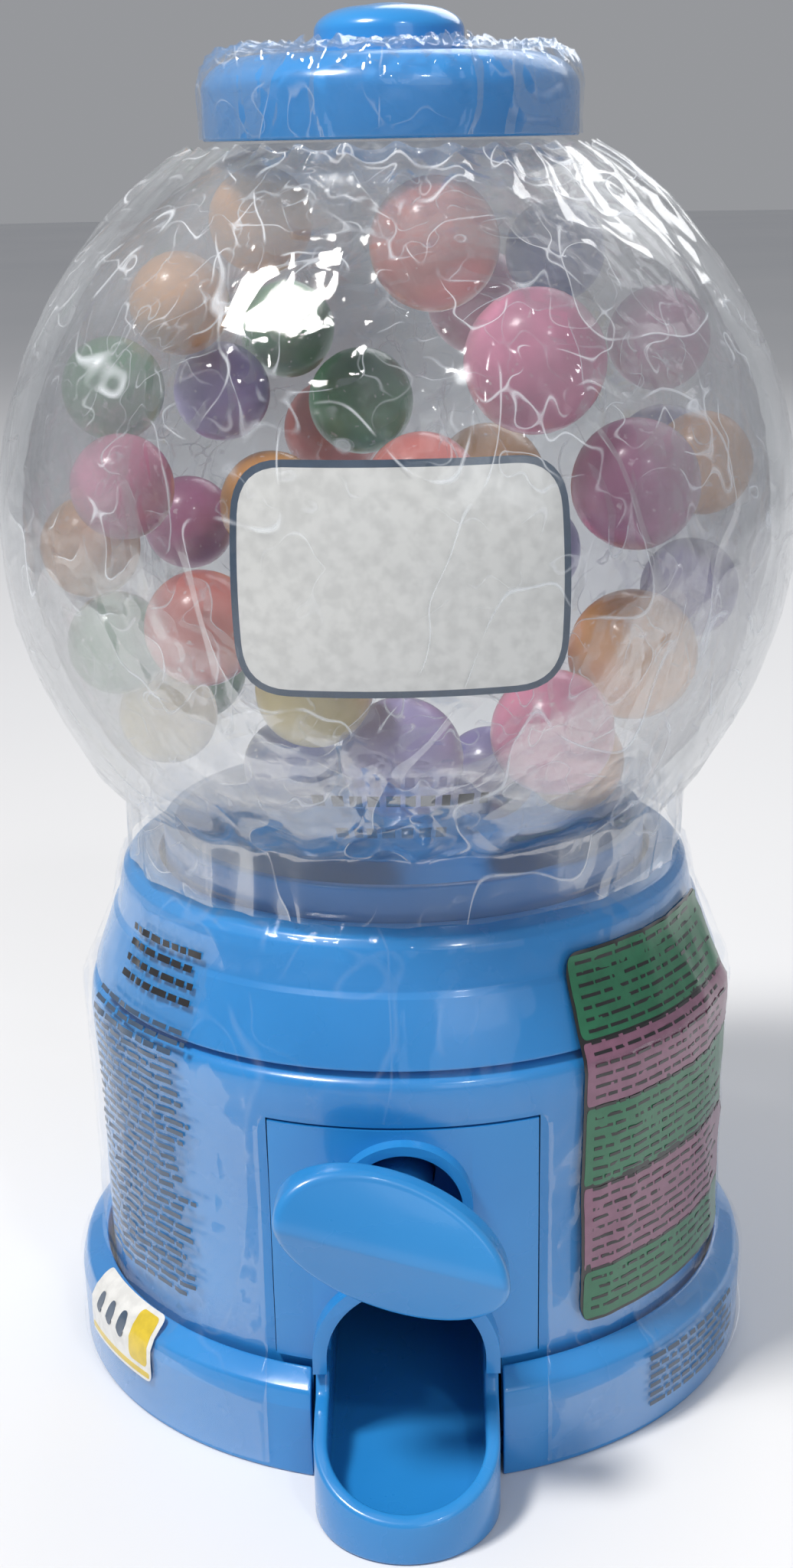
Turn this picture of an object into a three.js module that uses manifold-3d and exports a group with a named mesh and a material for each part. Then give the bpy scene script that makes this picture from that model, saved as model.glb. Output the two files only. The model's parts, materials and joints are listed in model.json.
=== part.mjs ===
// A small toy gumball machine: a clear globe on a blue base, with a dial, a scoop drum and an outlet tray.
// Millimetres, +Z up. The origin is the middle of the underside, and the outlet faces -Y.
import * as THREE from 'three';
import { mergeVertices } from 'three/addons/utils/BufferGeometryUtils.js';
import Module from 'manifold-3d';

const wasm = await Module();
wasm.setup();

// ---- Driving dimensions ----
const SEGMENTS = 36;
const GAP = 0.3;
const WALL = 1.5;

const GLOBE_R = 42.2;
const GLOBE_WALL = 1.2;
const GLOBE_Z = 96.4;
const COLLAR_R = 29;
const COLLAR_BOTTOM = 59.9;
const NECK_R = 16.5;
const NECK_TOP = 140.6;

const LID_R = 19.2;
const LID_BOTTOM = 134.5;
const LID_SHOULDER = 139.2;
const LID_TOP = 142.6;
const LID_FLAT_R = 14.2;
const LID_KNOB_R = 7.6;
const LID_KNOB_TOP = 147.4;
const LID_WALL = 1.6;
const LID_CEILING = 141;

const BODY_R = 36.2;
const BODY_TOP = 46;
const BODY_BOTTOM = 2.6;
const SHOULDER_R = 33;
const SHOULDER_Z = 53.8;
const SPIGOT_R = 27.3;
const SPIGOT_TOP = 63;
const SPIGOT_WALL = 1.4;
const FLANGE_Z = [46.3, 47.8];
const FLANGE_R = 33.3;
const FUNNEL = { top: 58, height: 9.7, wallGrowth: 1.2, wallDrop: 1.5, segments: 24 };

const RING_R = 40.1;
const RING_SIDE_TOP = 8.4;
const PLATE_R = 36.4;
const PLATE_THICKNESS = 2.2;

// How far a cut through the front wall reaches along Y.
const THROUGH_FRONT = [-45, -28];
const PANEL_R = 36.9;
const PANEL_WALL = 1.7;
const PANEL_HALF_WIDTH = 14;
const PANEL_Z = [12.6, 40.3];
const COLLAR = { z: 32.2, outer: 7.15, inner: 6.1, face: -38.5, back: -35.8 };
const ARCH = { z: 14.3, outer: 9.9, inner: 8.4, face: -38.4, back: -34.6 };

const TRAY_OUTER = 9.7;
const TRAY_INNER = 8.2;
const TRAY_FRONT = -53.6;
const TRAY_BACK = -7;

const DIAL_X = -1;
const DIAL_Z = 32.2;
const SHAFT_R = 4;
const KNOB = { length: 12.5, height: 7.1, outlineTilt: 27, ridgeTilt: 17 };
const KNOB_Y = { back: -43.6, rim: -46.5, ridge: -48.6 };

const DRUM_R = 11.8;
const DRUM_WALL = 1.4;
const DRUM_OPENING_DEG = 100;
const POCKET_Y = [-26.6, -10.4];
const DISC = 1.5;
const PIN_R = 2;
const SOCKET_HALF = 3.1;
const TANG_HALF = 2.8;
const THROAT = { x: DIAL_X, y: -17.8, r: 7.6, bottom: 44.6, top: 49 };

const FILM = 0.2;
const FILM_SPAN_DEG = [-43, 61];
const FILM_OPENING = { halfWidth: 15, top: 41.4 };
const BAG_R = 40.4;
const BAG_WALL = 0.25;
const BAG_MOUTH_DEG = 68;

const POST_PLACE_R = 31.6;
const POST_ANGLES = [90, 210, 330];
const POST = { r: 3.2, top: 14, holeTop: 12 };
const COUNTERBORE = { r: 3.1, depth: 1.3 };
const EAR_X = 16;
const EAR_Y = -19;
const EAR_TOP = 44.6;
const BOSS = { r: 2.8, bottom: 44.9, top: 53, holeTop: 50.5 };
const SCREW_HOLE_R = 1.6;
const SCREW_HEAD = 1;
const SCREW_R = 1.15;
const SCREW_PILOT_R = 1.4;

const BLUE = 0x2f8fdc;
const ZINC = 0xb8bcc0;
const GLOBE_TINT = 0xe8f0f4;
const FILM_TINT = 0xf4f6f8;
const CANDY = {
  pink: 0xe8749f, plum: 0xc8688f, salmon: 0xd0605a, navy: 0x2c3f86, green: 0x3f7d4c,
  orange: 0xd98a3a, lavender: 0x9a8fc8, cream: 0xead9a0, violet: 0x5b4d8c,
};

// Each gumball: colour, centre and radius.
const GUMBALLS = [
  ['pink', 14, -22, 114.5, 7],
  ['plum', 24, -20.5, 102.5, 6.5],
  ['salmon', 4.5, -14.5, 125, 6.5],
  ['navy', 17.5, 9, 123, 5.5],
  ['green', -12.5, 19, 114.5, 5.5],
  ['orange', -23, 5, 118.5, 5.5],
  ['orange', -13.5, 0, 127, 5.5],
  ['green', -29.5, -3, 110.5, 5.5],
  ['lavender', -19.5, 11, 108.5, 5.5],
  ['pink', -28, -11, 101.5, 5.5],
  ['orange', -33, -3.5, 94, 5.5],
  ['salmon', -19.5, -19.5, 88.5, 6],
  ['green', -29.5, -10.5, 85, 5.5],
  ['cream', -25.5, -4.5, 75.5, 5.5],
  ['orange', 25, -10.5, 83, 7],
  ['orange', 32.5, -4, 102, 5.5],
  ['violet', 32, -0.5, 88, 5.5],
  ['pink', 16, -21, 77.5, 6.5],
  ['orange', 19, -9.5, 71, 5.5],
  ['lavender', 0.5, -19.5, 74.5, 6.5],
  ['plum', 28, 0, 114.5, 5.5],
  ['cream', -8, -25, 83.5, 6],
  ['green', -4, 13, 107, 6],
  ['salmon', 3, -21, 102, 6],
  ['cream', -4, -16.5, 92.5, 6],
  ['pink', 12, -3.5, 84, 6.5],
  ['navy', -12.5, 0.5, 68, 5.5],
  ['violet', 10, 3, 66, 5.5],
  ['orange', 10.5, 12.5, 98, 6.5],
  ['lavender', 16, 25.5, 87.5, 6],
  ['pink', 9.5, 21, 117, 6],
  ['salmon', -8, 28, 102, 6],
  ['plum', -25, 19.5, 92.5, 5.5],
  ['green', -24, 10, 77, 6],
  ['orange', -14, 7, 96.5, 6],
  ['violet', 30, 10.5, 100.5, 6],
  ['cream', -7.5, 26.5, 81.5, 5.5],
];

// ---- Geometry helpers ----
const radians = THREE.MathUtils.degToRad;

function volumeOf(index, position) {
  const a = new THREE.Vector3();
  const b = new THREE.Vector3();
  const c = new THREE.Vector3();
  let sum = 0;
  for (let i = 0; i < index.length; i += 3) {
    a.fromBufferAttribute(position, index[i]);
    b.fromBufferAttribute(position, index[i + 1]);
    c.fromBufferAttribute(position, index[i + 2]);
    sum += a.dot(b.cross(c));
  }
  return sum / 6;
}

// A closed three.js geometry as a manifold solid, with its faces turned outwards.
function solid(geometry) {
  const bare = geometry.clone();
  bare.deleteAttribute('normal');
  bare.deleteAttribute('uv');
  const merged = mergeVertices(bare, 1e-4);
  const index = [];
  for (let i = 0; i < merged.index.count; i += 3) {
    const [p, q, r] = [0, 1, 2].map((k) => merged.index.getX(i + k));
    if (p !== q && q !== r && r !== p) index.push(p, q, r);
  }
  if (volumeOf(index, merged.attributes.position) < 0) index.reverse();
  return new wasm.Manifold(new wasm.Mesh({
    numProp: 3,
    vertProperties: new Float32Array(merged.attributes.position.array),
    triVerts: new Uint32Array(index),
  }));
}

function geometryOf(manifold) {
  const mesh = manifold.getMesh();
  const geometry = new THREE.BufferGeometry();
  geometry.setAttribute('position', new THREE.BufferAttribute(mesh.vertProperties, 3));
  geometry.setIndex(new THREE.BufferAttribute(mesh.triVerts, 1));
  geometry.computeVertexNormals();
  return geometry;
}

function arc(x, z, r, from, to, steps, rz = r) {
  return Array.from({ length: steps + 1 }, (_, i) => {
    const angle = from + ((to - from) * i) / steps;
    return [x + r * Math.cos(angle), z + rz * Math.sin(angle)];
  });
}

// A [radius, height] profile turned about Z. A loop off the axis is closed by itself.
function turned(profile, segments = SEGMENTS) {
  const points = profile.map(([r, z]) => new THREE.Vector2(r, z));
  const onAxis = points[0].x === 0 && points.at(-1).x === 0;
  if (!onAxis) points.push(points[0].clone());
  return solid(new THREE.LatheGeometry(points, segments).rotateX(Math.PI / 2));
}

function shapeOf(points) {
  return new THREE.Shape(points.map(([x, y]) => new THREE.Vector2(x, y)));
}

// An [x, y] outline raised from z0 to z1.
function raised(points, z0, z1) {
  const geometry = new THREE.ExtrudeGeometry(shapeOf(points), { depth: z1 - z0, bevelEnabled: false });
  return solid(geometry.translate(0, 0, z0));
}

// An [x, z] outline run along Y from front to back.
function alongY(points, front, back) {
  const geometry = new THREE.ExtrudeGeometry(shapeOf(points), { depth: back - front, bevelEnabled: false });
  return solid(geometry.rotateX(Math.PI / 2).translate(0, back, 0));
}

// A [y, z] outline run along X.
function alongX(points, left, right) {
  const geometry = new THREE.ExtrudeGeometry(shapeOf(points), { depth: right - left, bevelEnabled: false });
  return solid(geometry.rotateY(Math.PI / 2).rotateX(Math.PI / 2).translate(left, 0, 0));
}

function box(x, y, z) {
  const geometry = new THREE.BoxGeometry(x[1] - x[0], y[1] - y[0], z[1] - z[0]);
  return solid(geometry.translate((x[0] + x[1]) / 2, (y[0] + y[1]) / 2, (z[0] + z[1]) / 2));
}

function rodY(x, z, r, front, back, segments = 24) {
  const geometry = new THREE.CylinderGeometry(r, r, back - front, segments);
  return solid(geometry.translate(x, (front + back) / 2, z));
}

function rodZ(x, y, r, z0, z1, segments = 16) {
  const geometry = new THREE.CylinderGeometry(r, r, z1 - z0, segments);
  return solid(geometry.rotateX(Math.PI / 2).translate(x, y, (z0 + z1) / 2));
}

const together = (parts) => parts.reduce((all, part) => all.add(part));

const machine = new THREE.Group();

function place(name, manifold, color, look = {}) {
  const material = new THREE.MeshStandardMaterial({ color, roughness: 0.3, metalness: 0, ...look });
  const mesh = new THREE.Mesh(geometryOf(manifold), material);
  mesh.name = name;
  machine.add(mesh);
}

const CLEAR = { transparent: true, opacity: 0.3, roughness: 0.08 };
const STEEL = { roughness: 0.35, metalness: 1 };

// ---- Globe, lid and their film ----
function globe() {
  const inner = GLOBE_R - GLOBE_WALL;
  const collarInner = COLLAR_R - GLOBE_WALL;
  const neckInner = NECK_R - GLOBE_WALL;
  const up = arc(0, GLOBE_Z, GLOBE_R, -Math.acos(COLLAR_R / GLOBE_R), Math.acos(NECK_R / GLOBE_R), 9);
  const down = arc(0, GLOBE_Z, inner, Math.acos(neckInner / inner), -Math.acos(collarInner / inner), 9);
  return turned([[COLLAR_R, COLLAR_BOTTOM], ...up, [NECK_R, NECK_TOP], [neckInner, NECK_TOP], ...down,
    [collarInner, COLLAR_BOTTOM]]);
}

// The lid's rounded outer edge, from its side up to its flat top, grown by an offset.
function lidEdge(offset) {
  return arc(LID_FLAT_R, LID_SHOULDER, LID_R - LID_FLAT_R + offset, 0, Math.PI / 2, 5,
    LID_TOP - LID_SHOULDER + offset);
}

function lid() {
  const inner = LID_R - LID_WALL;
  const hollowR = LID_KNOB_R - WALL;
  const knobShoulder = LID_KNOB_TOP - 2.4;
  const dome = arc(3.4, knobShoulder, LID_KNOB_R - 3.4, 0, Math.PI / 2, 4, 2.1);
  return turned([[0, LID_KNOB_TOP], ...dome.reverse(), [LID_KNOB_R, LID_TOP], ...lidEdge(0).reverse(),
    [LID_R, LID_BOTTOM], [inner, LID_BOTTOM + 0.8], [inner, LID_CEILING - 1], [inner - 0.8, LID_CEILING],
    [hollowR, LID_CEILING], [hollowR, knobShoulder], [0, LID_KNOB_TOP - WALL]]);
}

function globeFilm() {
  const inner = GLOBE_R + GAP + FILM;
  const [from, to] = FILM_SPAN_DEG.map(radians);
  return turned([...arc(0, GLOBE_Z, inner + FILM, from, to, 8), ...arc(0, GLOBE_Z, inner, to, from, 8)]);
}

function lidFilm() {
  const hole = LID_KNOB_R + 0.9;
  const top = LID_TOP + GAP;
  const bottom = LID_BOTTOM + 0.5;
  return turned([[LID_R + GAP + FILM, bottom], ...lidEdge(GAP + FILM), [hole, top + FILM], [hole, top],
    ...lidEdge(GAP).reverse(), [LID_R + GAP, bottom]]);
}

function candyBag() {
  const mouth = radians(BAG_MOUTH_DEG);
  const floor = radians(-90);
  const outer = arc(0, GLOBE_Z, BAG_R, floor, mouth, 9);
  const inner = arc(0, GLOBE_Z, BAG_R - BAG_WALL, mouth, floor, 9);
  outer[0][0] = 0;
  inner.at(-1)[0] = 0;
  return turned([...outer, ...inner], 24);
}

// ---- Base ----
function topCover() {
  return turned([[28, 59.5], [29.6, 59.6], [31.4, 59.1], [32.1, 58.2], [32.7, 55.4], [SHOULDER_R, SHOULDER_Z],
    [36, 46.4], [34.3, 46.3], [31.3, 54.3], [30.5, 57.6], [28, 57.8]]);
}

// A funnel shell whose small end is moved off the axis, over the drum.
function funnel(growth, drop) {
  const { height, segments } = FUNNEL;
  const top = FUNNEL.top - drop;
  const mouthR = SPIGOT_R - SPIGOT_WALL;
  const geometry = new THREE.CylinderGeometry(mouthR + growth, THROAT.r + growth, height, segments);
  geometry.rotateX(Math.PI / 2).translate(0, 0, top - height / 2);
  const lean = new THREE.Matrix4().set(
    1, 0, -THROAT.x / height, (THROAT.x / height) * top,
    0, 1, -THROAT.y / height, (THROAT.y / height) * top,
    0, 0, 1, 0,
    0, 0, 0, 1,
  );
  return solid(geometry.applyMatrix4(lean));
}

function earPlaces() {
  return [-1, 1].map((side) => [DIAL_X + side * EAR_X, EAR_Y]);
}

function hopper() {
  const inside = SPIGOT_R - SPIGOT_WALL;
  const ring = turned([[SPIGOT_R, FLANGE_Z[1]], [SPIGOT_R, SPIGOT_TOP], [inside, SPIGOT_TOP],
    [inside, FLANGE_Z[0]], [FLANGE_R, FLANGE_Z[0]], [FLANGE_R, FLANGE_Z[1]]]);
  const bosses = earPlaces().map(([x, y]) => rodZ(x, y, BOSS.r, BOSS.bottom, BOSS.top));
  const { x, y, r, bottom, top } = THROAT;
  const tube = rodZ(x, y, r + WALL, bottom, top, FUNNEL.segments);
  const shell = together([ring, funnel(FUNNEL.wallGrowth, FUNNEL.wallDrop), tube, ...bosses]);
  const holes = earPlaces().map(([u, v]) => rodZ(u, v, SCREW_HOLE_R, BOSS.bottom - 1, BOSS.holeTop, 12));
  const mouth = rodZ(0, 0, inside, FUNNEL.top - 0.1, SPIGOT_TOP + 1, SEGMENTS);
  const throat = rodZ(x, y, r, bottom - 0.6, top, FUNNEL.segments);
  return shell.subtract(together([funnel(0, 0), mouth, throat, ...holes]));
}

function postPlaces() {
  return POST_ANGLES.map(radians).map((a) => [POST_PLACE_R * Math.cos(a), POST_PLACE_R * Math.sin(a)]);
}

function bodyShell() {
  const wall = turned([[BODY_R - 0.2, BODY_BOTTOM], [BODY_R, 12], [BODY_R + 0.1, 21.9], [BODY_R - 0.1, 31.8],
    [BODY_R + 0.4, 37], [BODY_R + 0.6, 44.2], [BODY_R + 0.3, 45.5], [BODY_R - 0.3, BODY_TOP],
    [31.6, BODY_TOP], [31.6, 44.6], [34.7, 42.6], [34.3, 31.8], [34.3, BODY_BOTTOM]]);
  const posts = postPlaces().map(([x, y]) => rodZ(x, y, POST.r, BODY_BOTTOM, POST.top));
  const holes = postPlaces().map(([x, y]) => rodZ(x, y, SCREW_HOLE_R, BODY_BOTTOM - 0.6, POST.holeTop, 12));
  const side = PANEL_HALF_WIDTH + GAP;
  const window = box([-side, side], THROUGH_FRONT, [PANEL_Z[0] - GAP, PANEL_Z[1] + GAP]);
  const slotSide = TRAY_OUTER + 0.4;
  const slot = box([-slotSide, slotSide], THROUGH_FRONT, [BODY_BOTTOM - 0.6, PANEL_Z[0]]);
  return together([wall, ...posts]).subtract(together([window, slot, ...holes]));
}

function archOutline(r, bottom) {
  return [[-r, bottom], [r, bottom], ...arc(0, ARCH.z, r, 0, Math.PI, 14)];
}

function frontPlate() {
  const inner = PANEL_R - PANEL_WALL;
  const [low, high] = PANEL_Z;
  const sleeve = turned([[PANEL_R, low], [PANEL_R, high], [inner, high], [inner, low]], 2 * SEGMENTS);
  const side = PANEL_HALF_WIDTH;
  const cut = sleeve.intersect(box([-side, side], THROUGH_FRONT, [low - 1, high + 1]));
  const frame = alongY(archOutline(ARCH.outer, low), ARCH.face, ARCH.back);
  const collar = rodY(0, COLLAR.z, COLLAR.outer, COLLAR.face, COLLAR.back, 32);
  const hole = rodY(0, COLLAR.z, COLLAR.inner, ...THROUGH_FRONT, 32);
  const mouth = alongY(archOutline(ARCH.inner, low - 2), ...THROUGH_FRONT);
  return together([cut, frame, collar]).subtract(together([hole, mouth]));
}

function trayOutline(r) {
  const middle = TRAY_FRONT + TRAY_OUTER;
  return [[r, TRAY_BACK], [-r, TRAY_BACK], ...arc(0, middle, r, Math.PI, 2 * Math.PI, 14)];
}

function outletTray() {
  const side = [[TRAY_BACK, 2.5], [TRAY_BACK, 16], [-33, 16], [-33, 12.2], [-37, 12.2], [-38.6, 10.2],
    [-41, 9.8], [TRAY_FRONT - 0.1, 4.8], [TRAY_FRONT - 0.1, 0], [-37.4, 0], [-37.4, 2.5]];
  const floor = [[-5, 8.9], [-31, 4.4], [-55, 2.4], [-55, 20], [-5, 20]];
  const walls = raised(trayOutline(TRAY_OUTER), 0, 17).intersect(alongX(side, -12, 12));
  const channel = raised(trayOutline(TRAY_INNER), 0, 18).intersect(alongX(floor, -12, 12));
  const openBack = box([-TRAY_INNER, TRAY_INNER], [TRAY_BACK - 1, TRAY_BACK + 2], [9, 20]);
  return walls.subtract(channel.add(openBack));
}

function footRing() {
  const ring = turned([[RING_R - 0.1, 0], [RING_R, RING_SIDE_TOP], [RING_R - 0.5, 10.3], [38.7, 10.9],
    [36.9, 11.9], [36.9, 0]]);
  const gap = TRAY_OUTER + 0.5;
  return ring.subtract(box([-gap, gap], THROUGH_FRONT, [-1, 15]));
}

function bottomPlate() {
  const disc = rodZ(0, 0, PLATE_R, 0, PLATE_THICKNESS, SEGMENTS);
  const holes = postPlaces().flatMap(([x, y]) => [rodZ(x, y, COUNTERBORE.r, -1, COUNTERBORE.depth, 16),
    rodZ(x, y, SCREW_HOLE_R, -1, PLATE_THICKNESS + 1, 12)]);
  return disc.subtract(together(holes));
}

// ---- Dispensing mechanism ----
function drumHousing() {
  const front = POCKET_Y[0] - 2 * DISC - GAP;
  const back = POCKET_Y[1] + 2 * DISC + GAP;
  const cavity = DRUM_R + GAP;
  const outer = rodY(DIAL_X, DIAL_Z, cavity + WALL, front, back, 32)
    .intersect(box([-20, 20], [-40, 0], [10, DIAL_Z + cavity]));
  const span = (side, near, far) => [DIAL_X + side * near, DIAL_X + side * far].sort((a, b) => a - b);
  const ears = [-1, 1].flatMap((side) => [
    box(span(side, 12.3, 13.2), [EAR_Y - 6, EAR_Y + 6], [31, EAR_TOP]),
    box(span(side, 12.3, 19), [EAR_Y - 3, EAR_Y + 3], [EAR_TOP - 1.6, EAR_TOP]),
  ]);
  const inside = rodY(DIAL_X, DIAL_Z, cavity, front + DISC, back - DISC, 32);
  const top = box(span(1, -10.2, 10.2), POCKET_Y, [DIAL_Z, 50]);
  const chute = box(span(1, -THROAT.r - 0.4, THROAT.r + 0.4), POCKET_Y, [10, DIAL_Z]);
  const bearings = [rodY(DIAL_X, DIAL_Z, SHAFT_R + GAP, front - 1, front + 3, 24),
    rodY(DIAL_X, DIAL_Z, PIN_R + GAP, back - 3, back + 1, 24)];
  const holes = earPlaces().map(([x, y]) => rodZ(x, y, SCREW_HOLE_R, 42, 46, 12));
  return together([outer, ...ears]).subtract(together([inside, top, chute, ...bearings, ...holes]));
}

function squareRod(half, front, back) {
  return box([DIAL_X - half, DIAL_X + half], [front, back], [DIAL_Z - half, DIAL_Z + half]);
}

function drum() {
  const [front, back] = POCKET_Y;
  const half = radians(DRUM_OPENING_DEG / 2);
  const can = rodY(DIAL_X, DIAL_Z, DRUM_R, front - DISC, back + DISC, 36);
  const hollow = rodY(DIAL_X, DIAL_Z, DRUM_R - DRUM_WALL, front, back, 36);
  const reach = 2 * DRUM_R;
  const wedge = alongY([[DIAL_X, DIAL_Z], [DIAL_X + reach * Math.sin(half), DIAL_Z + reach * Math.cos(half)],
    [DIAL_X - reach * Math.sin(half), DIAL_Z + reach * Math.cos(half)]], front, back);
  const pin = rodY(DIAL_X, DIAL_Z, PIN_R, back + DISC - 0.2, back + 2 * DISC, 16);
  const socket = squareRod(SOCKET_HALF, front - DISC - 1, front - 0.5);
  const screwHole = rodY(DIAL_X, DIAL_Z, SCREW_PILOT_R, front - 1, front + 1, 12);
  return can.subtract(together([hollow, wedge, socket, screwHole])).add(pin);
}

function dialKnob() {
  const tilt = radians(KNOB.outlineTilt);
  const outline = arc(0, 0, KNOB.length, 0, 2 * Math.PI, 36, KNOB.height).slice(0, -1)
    .map(([u, v]) => [DIAL_X + u * Math.cos(tilt) + v * Math.sin(tilt),
      DIAL_Z - u * Math.sin(tilt) + v * Math.cos(tilt)]);
  const disc = alongY(outline, KNOB_Y.ridge - 1, KNOB_Y.back);
  const edge = KNOB.height + 3;
  const roof = new THREE.ExtrudeGeometry(shapeOf([[KNOB_Y.back + 1, -edge], [KNOB_Y.back + 1, edge],
    [KNOB_Y.rim, edge], [KNOB_Y.ridge, 0.6], [KNOB_Y.ridge, -0.6], [KNOB_Y.rim, -edge]]),
  { depth: 40, bevelEnabled: false });
  roof.rotateY(Math.PI / 2).rotateX(Math.PI / 2).translate(-20, 0, 0);
  roof.rotateY(radians(KNOB.ridgeTilt)).translate(DIAL_X, 0, DIAL_Z);
  const shaftEnd = POCKET_Y[0] - DISC - GAP;
  const shaft = rodY(DIAL_X, DIAL_Z, SHAFT_R, KNOB_Y.back - 1, shaftEnd, 24);
  const tang = squareRod(TANG_HALF, shaftEnd - 1, shaftEnd + 1);
  const hole = rodY(DIAL_X, DIAL_Z, SCREW_PILOT_R, shaftEnd - 7, shaftEnd + 3, 12);
  return together([disc.intersect(solid(roof)), shaft, tang]).subtract(hole);
}

// ---- Screws ----
// A screw with its head under z and its shank above it.
function screwUp(x, y, z, headR, length) {
  return rodZ(x, y, headR, z - SCREW_HEAD, z, 12).add(rodZ(x, y, SCREW_R, z - 0.5, z + length, 10));
}

function drumScrew() {
  const seat = POCKET_Y[0] + GAP;
  return rodY(DIAL_X, DIAL_Z, 2.3, seat, seat + SCREW_HEAD, 12)
    .add(rodY(DIAL_X, DIAL_Z, SCREW_R - 0.05, seat - 7, seat + 0.5, 10));
}

// ---- Film round the body, open over the dial and the outlet ----
function bodyFilm() {
  const line = [[40.5, 1], [40.5, 9.2], [39.5, 10.9], [37, 12.7], [36.9, 31], [37.2, 37], [37.3, 45.3],
    [36.4, 46.9], [33.4, 54], [32.6, 58.3], [30.4, 60]];
  const outer = line.map(([r, z]) => [r + FILM, z + 0.05]);
  const sleeve = turned([...outer, ...line.reverse()]);
  const { halfWidth, top } = FILM_OPENING;
  return sleeve.subtract(box([-halfWidth, halfWidth], [-60, -20], [-1, top]));
}

// ---- Assembly ----
place('globe', globe(), GLOBE_TINT, CLEAR);
place('lid', lid(), BLUE);
place('film_globe', globeFilm(), FILM_TINT, CLEAR);
place('film_lid', lidFilm(), FILM_TINT, CLEAR);
place('film_body', bodyFilm(), FILM_TINT, CLEAR);
place('candy_bag', candyBag(), FILM_TINT, CLEAR);
place('top_cover', topCover(), BLUE);
place('hopper', hopper(), BLUE);
place('body_shell', bodyShell(), BLUE);
place('front_plate', frontPlate(), BLUE);
place('outlet_tray', outletTray(), BLUE);
place('foot_ring', footRing(), BLUE);
place('bottom_plate', bottomPlate(), BLUE);
place('drum_housing', drumHousing(), BLUE);
place('dispensing_drum', drum(), BLUE);
place('dial_knob', dialKnob(), BLUE);
place('drum_screw', drumScrew(), ZINC, STEEL);
earPlaces().forEach(([x, y], i) => {
  place(`housing_screw_${i + 1}`, screwUp(x, y, 42.7, 2.4, 7), ZINC, STEEL);
});
postPlaces().forEach(([x, y], i) => {
  place(`base_screw_${i + 1}`, screwUp(x, y, SCREW_HEAD, 2.6, 9), ZINC, STEEL);
});
GUMBALLS.forEach(([colour, x, y, z, r], i) => {
  const ball = new THREE.SphereGeometry(r, 9, 6).rotateX(Math.PI / 2).translate(x, y, z);
  place(`gumball_${String(i + 1).padStart(2, '0')}`, solid(ball), CANDY[colour], { roughness: 0.35 });
});

export default machine;
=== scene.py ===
"""A small toy gumball machine in Blender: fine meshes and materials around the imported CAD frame.
Metres, +Z up, the outlet faces -Y. Profiles are written in millimetres, as [radius, height]."""

import json
import math
import random

import bmesh
import bpy
from mathutils import Matrix, Vector, noise


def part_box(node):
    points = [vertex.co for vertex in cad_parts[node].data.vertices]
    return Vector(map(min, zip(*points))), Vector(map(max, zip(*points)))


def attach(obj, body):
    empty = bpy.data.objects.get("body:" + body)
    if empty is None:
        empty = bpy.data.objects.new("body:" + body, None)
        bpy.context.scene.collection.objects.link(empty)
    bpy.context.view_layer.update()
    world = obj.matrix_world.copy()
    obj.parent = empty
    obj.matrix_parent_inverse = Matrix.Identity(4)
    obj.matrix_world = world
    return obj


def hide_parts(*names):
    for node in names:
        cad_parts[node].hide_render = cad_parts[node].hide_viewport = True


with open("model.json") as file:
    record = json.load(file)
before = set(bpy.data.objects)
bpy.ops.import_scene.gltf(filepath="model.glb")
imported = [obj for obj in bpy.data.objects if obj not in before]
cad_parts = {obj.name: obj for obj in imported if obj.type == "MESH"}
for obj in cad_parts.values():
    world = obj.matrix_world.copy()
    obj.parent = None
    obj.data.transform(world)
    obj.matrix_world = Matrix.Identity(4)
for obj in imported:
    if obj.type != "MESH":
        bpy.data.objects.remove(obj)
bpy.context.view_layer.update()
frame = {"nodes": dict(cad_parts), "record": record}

MM = 0.001
FINE = 160

# ---- Sizes shared with the CAD model, in millimetres ----
GLOBE_R = 42.2
GLOBE_WALL = 1.2
GLOBE_Z = 96.4
COLLAR_R = 29
COLLAR_BOTTOM = 59.9
NECK_R = 16.5
NECK_TOP = 140.6
LID_R = 19.2
LID_BOTTOM = 134.5
LID_SHOULDER = 139.2
LID_TOP = 142.6
LID_FLAT_R = 14.2
LID_KNOB_R = 7.6
LID_KNOB_TOP = 147.4
BODY_R = 36.2
RING_R = 40.1
PANEL_R = 36.9
PANEL_HALF = 14
PANEL_Z = (12.6, 40.3)
DIAL_X = -1
DIAL_Z = 32.2
TRAY_OUTER = 9.7
TRAY_INNER = 8.2
TRAY_FRONT = -53.6
FILM_R = 42.75
POST_R = 31.6
POST_ANGLES = (90, 210, 330)
THROAT_X, THROAT_Y = -1, -17.8
SPIGOT_IN = 25.88


# ---- Camera, floor and lights ----
def camera():
    yaw = math.radians(1.1)
    pitch = math.radians(20.3)
    roll = math.radians(-1.05)
    data = bpy.data.cameras.new("Camera")
    data.lens = 46.86
    data.sensor_width = 36
    data.shift_x = -0.0054
    data.shift_y = 0.0724
    data.clip_start = 0.01
    cam = bpy.data.objects.new("Camera", data)
    back, height = 0.2227, 0.1343
    place = Vector((back * math.sin(yaw), -back * math.cos(yaw), height))
    turn = Matrix.Rotation(yaw, 4, "Z") @ Matrix.Rotation(math.pi / 2 - pitch, 4, "X")
    cam.matrix_world = Matrix.Translation(place) @ turn @ Matrix.Rotation(roll, 4, "Z")
    bpy.context.collection.objects.link(cam)
    bpy.context.scene.camera = cam


def area_light(name, place, aim, size, power, colour=(1, 1, 1)):
    data = bpy.data.lights.new(name, "AREA")
    data.shape = "RECTANGLE"
    data.size, data.size_y = size
    data.energy = power
    data.color = colour
    light = bpy.data.objects.new(name, data)
    light.location = place
    light.visible_camera = False
    light.rotation_euler = (Vector(aim) - Vector(place)).to_track_quat("-Z", "Y").to_euler()
    bpy.context.collection.objects.link(light)


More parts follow.
